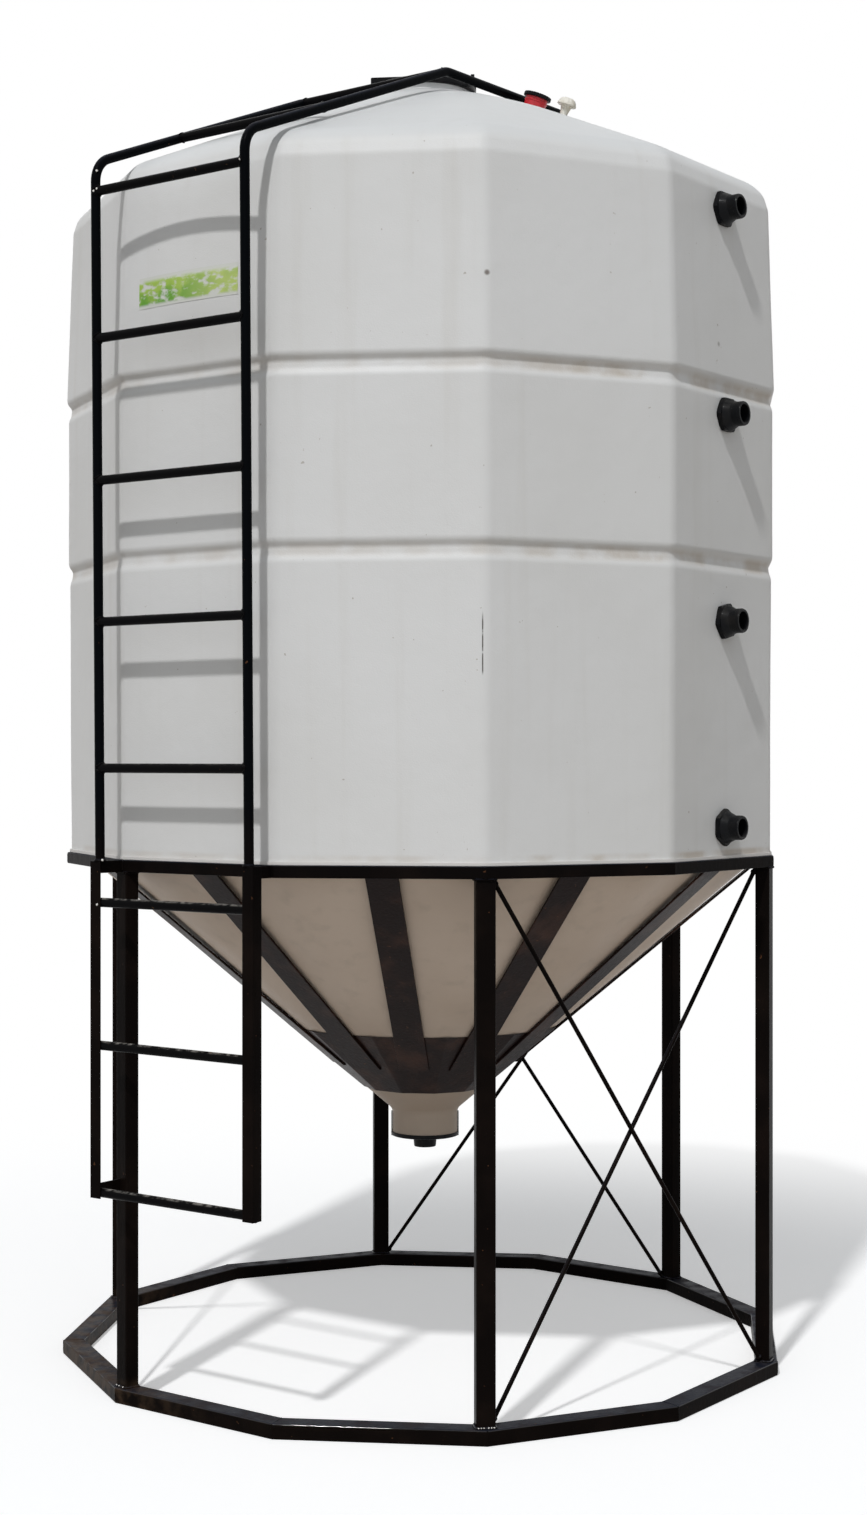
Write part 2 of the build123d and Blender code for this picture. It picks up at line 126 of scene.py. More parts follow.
class Finish(Shading):
    """A procedural material in the making. Its settings are the shader's own, the same all over."""

    def __init__(self, name, settings):
        self.material = bpy.data.materials.new(name)
        self.material.use_nodes = True
        super().__init__(self.material.node_tree)
        self.shader = self.tree.nodes["Principled BSDF"]
        for socket, value in settings.items():
            self.shader.inputs[socket].default_value = value
        self.place = self.node("ShaderNodeTexCoord", output="Object")
        self.x, self.y, self.z = [self.part_of(self.place, axis) for axis in range(3)]
        self.upward = self.part_of(self.node("ShaderNodeNewGeometry", output="Normal"), 2)
        self.colour = settings["Base Color"]

    def clouds(self, scale, detail, seed):
        """Noise of so many lumps to the metre: one number, or three for lumps that are drawn out."""
        over = self.place
        if isinstance(scale, tuple):
            over = self.node("ShaderNodeMapping", {}, {"Vector": self.place, "Scale": scale})
            scale = 1.0
        return self.node("ShaderNodeTexNoise", {"noise_dimensions": "4D"},
                         {"Vector": over, "Scale": scale, "Detail": detail, "W": seed})

    def between(self, value, low, high):
        """0 up to the low value, 1 from the high one, and a smooth rise between them."""
        return self.node("ShaderNodeMapRange", {"clamp": True, "interpolation_type": "SMOOTHSTEP"},
                         {"Value": value, "From Min": low, "From Max": high})

    def patches(self, scale, detail, seed, low, high):
        return self.between(self.clouds(scale, detail, seed), low, high)

    def part_of(self, vector, axis):
        return self.node("ShaderNodeSeparateXYZ", {}, {"Vector": vector}, output=axis)

    def near(self, point, reach):
        away = self.node("ShaderNodeVectorMath", {"operation": "DISTANCE"},
                         {0: self.place, 1: point}, output="Value")
        return 1 - self.between(away, 0.3 * reach, reach)

    def cover(self, amount, colour):
        """Lay a colour over what the finish has so far, by the amount."""
        self.colour = self.node("ShaderNodeMix", {"data_type": "RGBA"},
                                {0: amount, 6: self.colour, 7: colour}, output=2)
        self.feed("Base Color", self.colour)

    def feed(self, socket, signal):
        self.tree.links.new(signal.socket, self.shader.inputs[socket])

    def relief(self, height, depth):
        bump = self.node("ShaderNodeBump", {}, {"Height": height, "Distance": depth, "Strength": 1.0})
        self.feed("Normal", bump)


lamp_data = bpy.data.lights.new("studio_lamp", "SUN")
lamp_data.energy = 1.70
lamp_data.angle = radians(2.6)
left_of_viewpoint = radians(20)
lamp_bearing = heading + pi - left_of_viewpoint
lamp_height = radians(51.5)
level_part = cos(lamp_height)
shine = -Vector((level_part * cos(lamp_bearing), level_part * sin(lamp_bearing), sin(lamp_height)))
lamp = bpy.data.objects.new("studio_lamp", lamp_data)
lamp.rotation_euler = shine.to_track_quat("-Z", "Y").to_euler()
bpy.context.scene.collection.objects.link(lamp)

world = bpy.data.worlds.new("surround")
world.use_nodes = True
bpy.context.scene.world = world
surround = Shading(world.node_tree)
bright_side = (-0.16, -0.96, 0.22)
direction = surround.node("ShaderNodeTexCoord", output="Generated")
towards_bright = surround.node("ShaderNodeVectorMath", {"operation": "DOT_PRODUCT"},
                               {0: direction, 1: bright_side}, output="Value")
strength = surround.node("ShaderNodeMapRange", {"interpolation_type": "SMOOTHSTEP"},
                         {"Value": towards_bright, "From Min": 0.25, "From Max": 0.95,
                          "To Min": 0.18, "To Max": 0.68})
lighting = surround.node("ShaderNodeBackground", {}, {"Color": (0.91, 0.955, 1.0, 1), "Strength": strength})
white_view = surround.node("ShaderNodeBackground", {}, {"Color": (1, 1, 1, 1), "Strength": 1.0})
surround.end_in("World Output", surround.choice(surround.looked_at(), lighting, white_view))

floor_half = 40
fade_start = 1.6
fade_end = 4.5
floor_finish = Finish("studio_floor", {"Base Color": (0.46, 0.42, 0.375, 1), "Roughness": 0.9,
                                       "Specular IOR Level": 0.0})
pale = floor_finish.node("ShaderNodeBsdfDiffuse", {}, {"Color": (0.95, 0.95, 0.95, 1)})
glow = floor_finish.node("ShaderNodeEmission", {}, {"Color": (1, 1, 1, 1), "Strength": 0.33})
near_view = floor_finish.node("ShaderNodeAddShader", {}, {0: pale, 1: glow})
far_view = floor_finish.node("ShaderNodeEmission", {}, {"Color": (1, 1, 1, 1), "Strength": 1.0})
from_middle = floor_finish.node("ShaderNodeVectorMath", {"operation": "LENGTH"},
                                {0: floor_finish.place}, output="Value")
fading = floor_finish.between(from_middle, fade_start, fade_end)
floor_view = floor_finish.choice(fading, near_view, far_view)
floor_lit = Signal(floor_finish, floor_finish.shader.outputs[0])
floor_finish.end_in("Material Output", floor_finish.choice(floor_finish.looked_at(), floor_lit, floor_view))
floor_corners = [(x * floor_half, y * floor_half, 0) for x, y in ((-1, -1), (1, -1), (1, 1), (-1, 1))]
floor_mesh = bpy.data.meshes.new("floor")
floor_mesh.from_pydata(floor_corners, [], [(0, 1, 2, 3)])
floor_mesh.materials.append(floor_finish.material)
floor = bpy.data.objects.new("floor", floor_mesh)
bpy.context.scene.collection.objects.link(floor)


# Tank: one moulding of white polyethylene with twelve sides, made in a turning hot mould. Two grooves
# part its three bands; the shoulder, the facets and the crown of the roof end in a round neck. The wall
# is about 10 mm thick and its corners are soft.
def surface(rows, along=False, ends=False):
    """Points and faces of a skin through closed rows of points; along joins the last row to the first."""
    count = len(rows[0])
    points = [point for row in rows for point in row]
    faces = []
    for r in range(len(rows) if along else len(rows) - 1):
        low = r * count
        high = (r + 1) % len(rows) * count
        faces += [(low + i, low + (i + 1) % count, high + (i + 1) % count, high + i) for i in range(count)]
    if ends:
        faces.append(tuple(reversed(range(count))))
        faces.append(tuple((len(rows) - 1) * count + i for i in range(count)))
    return points, faces


def piece(name, skins, finish, crease=38):
    """One object from several skins, smooth but for its creases."""
    points, faces = [], []
    for skin_points, skin_faces in skins:
        faces += [tuple(i + len(points) for i in face) for face in skin_faces]
        points += skin_points
    mesh = bpy.data.meshes.new(name)
    mesh.from_pydata(points, [], faces)
    mesh.materials.append(finish.material)
    mesh.shade_smooth()
    mesh.set_sharp_from_angle(angle=radians(crease))
    made = bpy.data.objects.new(name, mesh)
    bpy.context.scene.collection.objects.link(made)
    evened = made.modifiers.new("even_shading", "WEIGHTED_NORMAL")
    evened.keep_sharp = True
    return made


slant = cos(radians(15))


def sided_ring(corner_radius, rounding, height, arc=6, flat=8):
    """Points round the twelve-sided plan at one height, with its corners rounded."""
    centre = corner_radius - rounding / slant
    arcs = []
    for corner in range(12):
        middle = radians(30 * corner)
        turns = [middle + radians(15) * (2 * i / arc - 1) for i in range(arc + 1)]
        arcs.append([Vector((centre * cos(middle) + rounding * cos(t),
                             centre * sin(middle) + rounding * sin(t), height)) for t in turns])
    points = []
    for this, following in zip(arcs, arcs[1:] + arcs[:1]):
        points += this
        points += [this[-1].lerp(following[0], i / flat) for i in range(1, flat)]
    return points


def softened(outline, reaches, steps=5):
    """Outline of (radius, height, rounding) with each inner corner bent over the given reach."""
    outline = [Vector(point) for point in outline]
    bent = [outline[0]]
    for before, corner, after, reach in zip(outline, outline[1:], outline[2:], reaches):
        start = corner.lerp(before, min(reach / (corner - before).xy.length, 0.48))
        end = corner.lerp(after, min(reach / (corner - after).xy.length, 0.48))
        for i in range(steps + 1):
            t = i / steps
            bent.append((1 - t) ** 2 * start + 2 * t * (1 - t) * corner + t * t * end)
    return bent + [outline[-1]]


def divided(outline, longest):
    """The same outline with points added so that no step is longer than asked."""
    finer = [outline[0]]
    for before, after in zip(outline, outline[1:]):
        count = max(1, round((after - before).xy.length / longest))
        finer += [before.lerp(after, i / count) for i in range(1, count + 1)]
    return finer


def outwards(bearing):
    """Level direction away from the axis at a bearing in degrees."""
    return Vector((cos(radians(bearing)), sin(radians(bearing)), 0))


def share(value):
    """The value, held between 0 and 1."""
    return min(1.0, max(0.0, value))


swell_depth = 0.0013
bulge_side = outwards(225)
bulge_depth = 0.022
bulge_half_width = 0.262
bulge_foot = 2.770
bulge_rise = 0.20
bulge_top = 3.262
bulge_fall = 0.14
sag_side = outwards(168)
sag_depth = 0.021
sag_height = 3.10
sag_radius = 0.25


def slightly_uneven(point):
    """A moulded tank is never quite true: the roof sags on one side and an upper face bulges."""
    swell = noise.noise(point * 2.3) + 0.35 * noise.noise(point * 7.0)
    away = Vector((point.x, point.y, 0)).normalized()
    reach = point.dot(bulge_side)
    across = (point.xy - bulge_side.xy * reach).length / bulge_half_width
    on_face = 1 - share(across) ** 2 if reach > 0.9 else 0.0
    in_band = share((point.z - bulge_foot) / bulge_rise) * share((bulge_top - point.z) / bulge_fall)
    point = point + bulge_side * bulge_depth * on_face * in_band * (2 - in_band)
    to_side = max(0.0, away.dot(sag_side)) ** 4
    up_roof = share((point.z - sag_height) / 0.20) * share((point.xy.length - sag_radius) / 0.35)
    return point + away * swell * swell_depth - Vector((0, 0, sag_depth)) * to_side * up_roof


wall_foot = 1.457
wall_thickness = 0.0104
wall_rounding = 0.06
neck_radius = 0.138
neck_bore = 0.130
neck_top = 3.689
longest_step = 0.05
wall_points = [(1.034, wall_foot)]
for groove, below, bottom, above in ((2.229, 1.037, 1.029, 1.041), (2.699, 1.041, 1.032, 1.046)):
    wall_points += [(below, groove - 0.010), (bottom + 0.002, groove + 0.007),
                    (bottom, groove + 0.025), (above, groove + 0.043)]
shoulder_points = [(1.028, 3.248), (1.0145, 3.2905), (0.984, 3.323)]
wall_outline = [(radius, height, wall_rounding) for radius, height in wall_points]
roof_outline = [(radius, height, wall_rounding) for radius, height in shoulder_points]
roof_outline += [(0.440, 3.563, 0.242), (0.245, 3.630, 0.208),
                 (neck_radius / slant, 3.655, neck_radius), (neck_radius / slant, neck_top, neck_radius)]
groove_bends = [0.007, 0.005, 0.006, 0.009] * 2
roof_bends = [0.008, 0.014, 0.026, 0.10, 0.06, 0.008]
outer_skin = divided(softened(wall_outline + roof_outline, groove_bends + roof_bends), longest_step)
inner_outline = [(neck_bore / slant, neck_top, neck_bore), (neck_bore / slant, 3.642, neck_bore),
                 (0.245, 3.617, 0.208), (0.440, 3.552, 0.242), (0.973, 3.313, wall_rounding),
                 (0.998, 3.291, wall_rounding)]
inner_outline += [(radius - wall_thickness, height, 0.05) for radius, height in reversed(wall_points)]
inner_skin = divided([Vector(point) for point in inner_outline], longest_step)
tank_rows = [[slightly_uneven(point) for point in sided_ring(radius, rounding, height)]
             for radius, height, rounding in outer_skin + inner_skin]

tank_finish = Finish("white_polyethylene", {"Base Color": (0.785, 0.785, 0.780, 1), "Roughness": 0.42,
                                            "Specular IOR Level": 0.16})
tank_finish.cover(tank_finish.patches(1.6, 4.0, 3.0, 0.35, 0.7), (0.745, 0.742, 0.730, 1))
rain_marks = tank_finish.patches((16, 16, 0.7), 4.0, 7.0, 0.52, 0.78)
tank_finish.cover(rain_marks * 0.22, (0.60, 0.575, 0.53, 1))
grime = tank_finish.patches(9.0, 5.0, 11.0, 0.35, 0.65)
# Darkening in the grooves and at the wall's foot: settled grime with painted shade, heavier on the side away
# from the lamp.
sunless_side = tank_finish.between(tank_finish.x, -0.05, 0.30)
for level, depth in ((wall_foot + 0.004, 0.018), (2.246, 0.026), (2.716, 0.026)):
    off_level = abs(tank_finish.z - level)
    grime_and_painted_shade = (1 - tank_finish.between(off_level, 0.3 * depth, depth)) * grime
    tank_finish.cover(grime_and_painted_shade * (0.34 + 0.36 * sunless_side), (0.52, 0.45, 0.37, 1))
specks = tank_finish.patches(70.0, 2.0, 21.0, 0.735, 0.76)
tank_finish.cover(specks * 0.5, (0.30, 0.24, 0.18, 1))
for spot, size in (((0.002, -1.036, 2.936), 0.010), ((0.700, -0.712, 2.899), 0.007),
                   ((0.680, -0.734, 2.828), 0.012)):
    tank_finish.cover(tank_finish.near(spot, size) * 0.8, (0.12, 0.09, 0.07, 1))
scrape_x = -0.0085
scrape_foot = 1.925
scrape_top = 2.092
on_corner = 1 - tank_finish.between(abs(tank_finish.x - scrape_x), 0.0007, 0.0024)
in_front = 1 - tank_finish.between(tank_finish.y, -0.9, -0.8)
above_foot = tank_finish.between(tank_finish.z, scrape_foot, scrape_foot + 0.015)
under_top = 1 - tank_finish.between(tank_finish.z, scrape_top - 0.032, scrape_top)
scraped = above_foot * under_top * tank_finish.patches((9, 9, 34), 3.0, 5.0, 0.28, 0.42)
tank_finish.cover(on_corner * in_front * scraped * 0.9, (0.030, 0.024, 0.020, 1))
# Upward-facing surfaces are made greyer and bluer.
upward_grey_blue = tank_finish.between(tank_finish.upward, 0.35, 0.9)
tank_finish.cover(upward_grey_blue * 0.5, (0.645, 0.665, 0.675, 1))
tank_finish.feed("Roughness", 0.36 + 0.16 * tank_finish.clouds(5.0, 3.0, 2.0))
peel = tank_finish.clouds(260.0, 2.0, 1.0)
ripple = tank_finish.clouds(14.0, 2.0, 6.0)
tank_finish.relief(peel * 0.25 + ripple, 0.0016)
tank = piece("tank_moulding", [surface(tank_rows, along=True)], tank_finish, crease=50)
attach(tank, "root")
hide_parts("roof", *[f"wall_panel_{i:02d}" for i in range(1, 13)])

# Hopper: a second moulding of natural polyethylene under the tank. Its rim lies on the ring beam, its
# twelve facets run down to a round spout, and its wall is as thick as the tank's.
spout_radius = 0.096
spout_bore = 0.086
spout_foot = 0.619
cone_foot = 0.687
cone_top = 1.419
cone_top_radius = 0.9757
beam_top = 1.448
hopper_outline = [(0.9653, wall_foot, 0.24), (0.9653, 1.4235, 0.24)]
hopper_outline += [(spout_bore / slant, height, spout_bore) for height in (0.692, spout_foot)]
hopper_outline += [(spout_radius / slant, height, spout_radius) for height in (spout_foot, cone_foot)]
hopper_outline += [(cone_top_radius, cone_top, 0.25), (cone_top_radius, beam_top, 0.25),
                   (1.039, beam_top, wall_rounding), (1.039, wall_foot, wall_rounding)]
hopper_bends = [0.012, 0.02, 0.001, 0.001, 0.012, 0.02, 0.004, 0.002]
hopper_line = divided(softened(hopper_outline, hopper_bends, steps=4), longest_step)
hopper_rows = [sided_ring(radius, rounding, height) for radius, height, rounding in hopper_line]
hopper_finish = Finish("natural_polyethylene", {"Base Color": (0.83, 0.70, 0.59, 1), "Roughness": 0.5,
                                                "Specular IOR Level": 0.3})
hopper_finish.cover(hopper_finish.patches(2.5, 4.0, 9.0, 0.35, 0.7), (0.73, 0.60, 0.49, 1))
low_grime = 1 - hopper_finish.between(hopper_finish.z, 0.66, 1.15)
hopper_finish.cover(low_grime * 0.80, (0.42, 0.34, 0.27, 1))
hopper_dust = hopper_finish.patches(16.0, 5.0, 4.0, 0.5, 0.8) * 0.3
hopper_finish.cover(hopper_dust, (0.46, 0.39, 0.31, 1))
rim = hopper_finish.between(hopper_finish.z, beam_top - 0.008, beam_top - 0.001)
hopper_finish.cover(rim * 0.85, (0.72, 0.72, 0.71, 1))
hopper_finish.feed("Roughness", 0.42 + 0.18 * hopper_finish.clouds(6.0, 3.0, 1.0))
hopper_grain = 0.3 * hopper_finish.clouds(240.0, 2.0, 3.0) + hopper_finish.clouds(12.0, 2.0, 8.0)
hopper_finish.relief(hopper_grain, 0.0018)
hopper = piece("hopper_moulding", [surface(hopper_rows, along=True)], hopper_finish, crease=50)
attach(hopper, "root")
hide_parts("hopper")

# Base ring: twelve lengths of rectangular steel tube, cut to the mitre, welded and brushed with black gloss
# paint. It lies flat on the ground and its top has gathered some dust, under a painted blue sky sheen
# that every upward face in this paint carries.
stand_paint = Finish("black_gloss_paint", {"Base Color": (0.0050, 0.0036, 0.0032, 1), "Roughness": 0.3,
                                           "Specular IOR Level": 0.012})
stand_paint.cover(stand_paint.patches(7.0, 4.0, 2.0, 0.4, 0.75), (0.0105, 0.0068, 0.0055, 1))
# Painted light: the black is bluer high up, as the lit rails look, and stays browner low down, as parts in
# shade look.
painted_light_high_up = stand_paint.between(stand_paint.z, 1.35, 1.65)
stand_paint.cover(painted_light_high_up, (0.0026, 0.0032, 0.0042, 1))
facing_up_dust_and_sheen = stand_paint.between(stand_paint.upward, 0.35, 0.95)
fallen_dust = facing_up_dust_and_sheen * stand_paint.patches(19.0, 5.0, 12.0, 0.42, 0.72)
# Painted reflection: upward faces are tinted blue as a sky sheen.
stand_paint.cover(facing_up_dust_and_sheen * 0.5, (0.018, 0.024, 0.042, 1))
stand_paint.cover(fallen_dust * 0.22, (0.13, 0.105, 0.09, 1))
near_ground = 1 - stand_paint.between(stand_paint.z, 0.035, 0.075)
muddy_side = 1 - stand_paint.between(stand_paint.x, -0.98, -0.62)
mud = near_ground * muddy_side * stand_paint.patches(23.0, 5.0, 44.0, 0.36, 0.62)
stand_paint.cover(mud * 0.6, (0.085, 0.055, 0.035, 1))
chips = stand_paint.patches(58.0, 4.0, 31.0, 0.70, 0.735)
stand_paint.cover(chips * 0.8, (0.10, 0.045, 0.022, 1))
brushed = stand_paint.clouds((90, 90, 14), 3.0, 17.0)
stand_paint.feed("Roughness", 0.20 + 0.22 * brushed + 0.35 * fallen_dust)
turned_up = stand_paint.between(stand_paint.upward, 0.25, 0.5)
lying_flat = stand_paint.between(stand_paint.upward, 0.8, 0.97)
edge_gloss = turned_up * (1 - lying_flat) * near_ground
stand_paint.feed("Coat Weight", edge_gloss * (1 - mud) * 0.6)
stand_paint.relief(0.6 * brushed + 0.5 * stand_paint.clouds(130.0, 2.0, 5.0) - 0.8 * chips, 0.0009)


def tube_ring(corner_radius, width, bottom, height, edge=0.004):
    """Closed ring of rectangular tube with mitred corners and rounded edges."""
    outline = []
    for inset, level, start in ((0, 0, 180), (width, 0, 270), (width, height, 0), (0, height, 90)):
        across = edge if inset == 0 else width - edge
        up = edge if level == 0 else height - edge
        for i in range(4):
            t = radians(start + 30 * i)
            outline.append((across + edge * cos(t), up + edge * sin(t)))
    rows = [sided_ring(corner_radius - inset / slant, 0.003, bottom + level, arc=2, flat=6)
            for inset, level in outline]
    return surface(rows, along=True)


def round_tube(path, radii, sides=16, ends=True):
    """Round bar along a path; radii is one radius or one for each point."""
    if not isinstance(radii, (list, tuple)):
        radii = [radii] * len(path)
    rows = []
    across = None
    for i, point in enumerate(path):
        along = (path[min(i + 1, len(path) - 1)] - path[max(i - 1, 0)]).normalized()
        if across is None:
            across = along.orthogonal().normalized()
        across = (across - along * across.dot(along)).normalized()
        side = along.cross(across)
        rows.append([point + radii[i] * (cos(2 * pi * k / sides) * across + sin(2 * pi * k / sides) * side)
                     for k in range(sides)])
    return surface(rows, ends=ends)


def weld_bead(path, radius=0.003, pitch=0.005):
    """Rippled line of weld along a path."""
    line = []
    for start, end in zip(path, path[1:]):
        count = max(2, round((end - start).length / (pitch / 2)))
        line += [start.lerp(end, i / count) for i in range(count)]
    line.append(path[-1])
    swell = [radius * (1.0 + 0.22 * (i % 2) + 0.25 * noise.noise(p * 160)) for i, p in enumerate(line)]
    swell[0] = swell[-1] = radius * 0.4
    return round_tube(line, swell, sides=7)


def corner_point(radius, corner, height):
    """Point at a corner of the twelve-sided plan."""
    t = radians(30 * corner)
    return Vector((radius * cos(t), radius * sin(t), height))


base_radius = 1.056
base_width = 0.060
base_height = 0.040
base_skins = [tube_ring(base_radius, base_width, 0, base_height)]
for corner in range(12):
    weld_line = [corner_point(base_radius - 0.0015, corner, 0.006),
                 corner_point(base_radius - 0.0015, corner, base_height - 0.0015),
                 corner_point(base_radius - base_width, corner, base_height - 0.0005)]
    base_skins.append(weld_bead(weld_line, radius=0.0018))
base_ring = piece("base_ring_tube", base_skins, stand_paint)
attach(base_ring, "root")
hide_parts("base_ring")

# Ring beam: a lighter ring of tube on top of the legs, mitred and welded at the same twelve corners,
# which carries the rim of the tank.
beam_radius = 1.044
beam_width = 0.050
beam_bottom = 1.416
beam_skins = [tube_ring(beam_radius, beam_width, beam_bottom, beam_top - beam_bottom, edge=0.0035)]
for corner in range(12):
    weld_line = [corner_point(beam_radius - 0.0015, corner, beam_bottom + 0.0035),
                 corner_point(beam_radius - 0.0015, corner, beam_top - 0.0035)]
    beam_skins.append(weld_bead(weld_line, radius=0.0018))
beam = piece("ring_beam_tube", beam_skins, stand_paint)
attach(beam, "root")
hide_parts("ring_beam")


# Legs: six square-cut steel tubes between the two rings, at every second corner, with a rippled weld
# right round each foot and each top.
def round_cornered(width, depth, corner, steps=3):
    """Outline of a rectangle with rounded corners, about its middle."""
    outline = []
    for x, y, start in ((1, 1, 0), (-1, 1, 90), (-1, -1, 180), (1, -1, 270)):
        for i in range(steps + 1):
            t = radians(start + 90 * i / steps)
            outline.append((x * (width / 2 - corner) + corner * cos(t),
                            y * (depth / 2 - corner) + corner * sin(t)))
    return outline


def upright(section, bearing, middle, levels):
    """Rows of an upright bar, its middle at a bearing and a distance from the axis."""
    return [[outwards(bearing) * (middle + x) + outwards(bearing + 90) * y + Vector((0, 0, z))
             for x, y in section] for z in levels]


leg_middle = 1.017
leg_size = (0.040, 0.050)
leg_section = round_cornered(*leg_size, 0.004)
leg_levels = (base_height - 0.0002, 0.2, 0.6, 1.0, 1.3, beam_bottom + 0.0002)
weld_section = round_cornered(leg_size[0] + 0.002, leg_size[1] + 0.002, 0.004, 1)
for number in range(1, 7):
    bearing = 60 * number - 30
    skins = [surface(upright(leg_section, bearing, leg_middle, leg_levels), ends=True)]
    for weld_line in upright(weld_section, bearing, leg_middle, (base_height + 0.0012, beam_bottom - 0.0012)):
        skins.append(weld_bead(weld_line + weld_line[:1], radius=0.0034))
    leg = piece(f"leg_tube_{number}", skins, stand_paint)
    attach(leg, "root")
    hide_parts(f"leg_{number}")

# Braces: crossed round rods of 12 mm steel in every second bay, one just inside the other where they
# pass, hand-straightened and spot welded to the legs.
rod_radius = 0.006
rod_shift = (2 * rod_radius + 0.0003) / 2 / cos(radians(30))
rod_foot = 0.008
rod_start = 0.022
rod_steps = 24
rod_bow = 0.0016
rod_weld = 0.0315
weld_drop = ((-0.006, 0.006), (-0.002, 0.0088), (0.003, 0.0084), (0.006, 0.006))
for number, bay in enumerate((30, 150, 270), start=1):
    skins = []
    for start, end, shift in ((bay, bay + 60, rod_shift), (bay + 60, bay, -rod_shift)):
        high = outwards(start) * (leg_middle + shift) + Vector((0, 0, beam_top))
        low = outwards(end) * (leg_middle + shift) + Vector((0, 0, rod_foot))
        way = (low - high).normalized()
        rod_path = []
        for i in range(rod_steps + 1):
            point = high.lerp(low, rod_start + (1 - 2 * rod_start) * i / rod_steps)
            bow = rod_bow * sin(pi * i / rod_steps) * noise.noise(point * 2.1 + Vector((number, 0, 0)))
            rod_path.append(point + way.orthogonal().normalized() * bow)
        skins.append(round_tube(rod_path, rod_radius, sides=14))
        for place in (rod_weld, 1 - rod_weld):
            middle = high.lerp(low, place)
            skins.append(round_tube([middle + way * along for along, _ in weld_drop],
                                    [radius for _, radius in weld_drop], sides=12))
    brace = piece(f"brace_rods_{number}", skins, stand_paint)
    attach(brace, "root")
    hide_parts(f"brace_{number}")

# Collar: twelve facets of 3 mm sheet folded round the lower cone, which hold the ends of the straps. The
# brush has left the paint thin and brown in places.
cone_lean = atan2(cone_top - cone_foot, (cone_top_radius - spout_radius) * slant)
sheet_in = 0.0003 / sin(cone_lean) / slant
sheet_out = 0.0033 / sin(cone_lean) / slant
collar_bottom = 0.754
collar_top = 0.941
collar_rounding = 0.012


def cone_radius(height):
    """Corner radius of the hopper's outside at a height."""
    return spout_radius + (height - cone_foot) / (cone_top - cone_foot) * (cone_top_radius - spout_radius)


strap_paint = Finish("thin_black_paint", {"Base Color": (0.0135, 0.0062, 0.0052, 1), "Roughness": 0.34,
                                          "Specular IOR Level": 0.06})
thin_spots = strap_paint.patches((9, 9, 5), 4.0, 3.0, 0.45, 0.75)
strap_paint.cover(thin_spots * 0.85, (0.075, 0.036, 0.025, 1))
strap_rust = strap_paint.patches(75.0, 4.0, 8.0, 0.66, 0.72)
strap_paint.cover(strap_rust * 0.6, (0.14, 0.062, 0.03, 1))
strap_brush = strap_paint.clouds((120, 120, 22), 3.0, 6.0)
strap_paint.feed("Roughness", 0.24 + 0.25 * strap_brush)
strap_paint.relief(strap_brush + 0.5 * strap_paint.clouds(140.0, 2.0, 2.0), 0.0008)
collar_line = []
for level, growth in ((collar_bottom, sheet_in), (collar_bottom, sheet_out), (collar_top, sheet_out),
                      (collar_top, sheet_in)):
    collar_line.append((cone_radius(level) + growth, level))
collar_rows = []
for (radius, level), (next_radius, next_level) in zip(collar_line, collar_line[1:] + collar_line[:1]):
    steps = 6 if level != next_level else 1
    collar_rows += [sided_ring(radius + (next_radius - radius) * i / steps, collar_rounding,
                               level + (next_level - level) * i / steps, arc=3, flat=6) for i in range(steps)]
collar = piece("collar_sheet", [surface(collar_rows, along=True)], strap_paint, crease=50)
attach(collar, "root")
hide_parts("hopper_collar")

# Straps: twelve flat steel bars from the underside of the ring beam down over the collar, one on the
# middle of each facet of the hopper, in the same thin paint.
strap_thickness = 0.006
strap_width = 0.086
strap_drop = 0.584
strap_steps = 10
strap_run = strap_thickness / sin(cone_lean)
strap_head = beam_radius * slant - beam_width + 0.012
strap_foot = cone_radius(beam_bottom - strap_drop) * slant + 0.0036 / sin(cone_lean) + strap_run
strap_section = [(x / sin(cone_lean), y) for x, y in round_cornered(strap_thickness, strap_width, 0.0014, 2)]
for number in range(1, 13):
    rows = []
    for i in range(strap_steps + 1):
        face = strap_head + (strap_foot - strap_head) * i / strap_steps
        level = beam_bottom - strap_drop * i / strap_steps
        rows += upright(strap_section, 30 * number - 15, face - strap_run / 2, [level])
    strap = piece(f"strap_bar_{number:02d}", [surface(rows, ends=True)], strap_paint)
    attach(strap, "root")
    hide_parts(f"hopper_strap_{number:02d}")

# Outlet closure: a moulded black flange with a short tapered plug under the spout, and two clips that
# reach up its sides.
black_plastic = Finish("black_polypropylene", {"Base Color": (0.0040, 0.0044, 0.0055, 1), "Roughness": 0.4,
                                               "Specular IOR Level": 0.05, "Coat Weight": 0.10,
                                               "Coat Roughness": 0.12})
black_plastic.cover(black_plastic.patches(26.0, 4.0, 4.0, 0.45, 0.75), (0.0120, 0.0110, 0.0105, 1))
black_top = black_plastic.between(black_plastic.upward, 0.3, 0.95)
black_dust = black_top * black_plastic.patches(40.0, 4.0, 9.0, 0.4, 0.7)
black_plastic.cover(black_dust * 0.35, (0.10, 0.095, 0.085, 1))
black_plastic.feed("Roughness", 0.30 + 0.22 * black_plastic.clouds(18.0, 3.0, 1.0) + 0.3 * black_dust)
black_plastic.relief(black_plastic.clouds(420.0, 2.0, 3.0), 0.0003)


def turned(profile, placed, sides=64, shape=None, ends=True):
    """Skin through rings of (radius, height) about a placed axis; shape gives a radius for an angle."""
    rows = []
    for radius, height in profile:
        row = []
        for k in range(sides):
            t = 2 * pi * k / sides
            reach = shape(radius, height, t) if shape else radius
            row.append(placed @ Vector((reach * cos(t), reach * sin(t), height)))
        rows.append(row)
    return surface(rows, ends=ends)


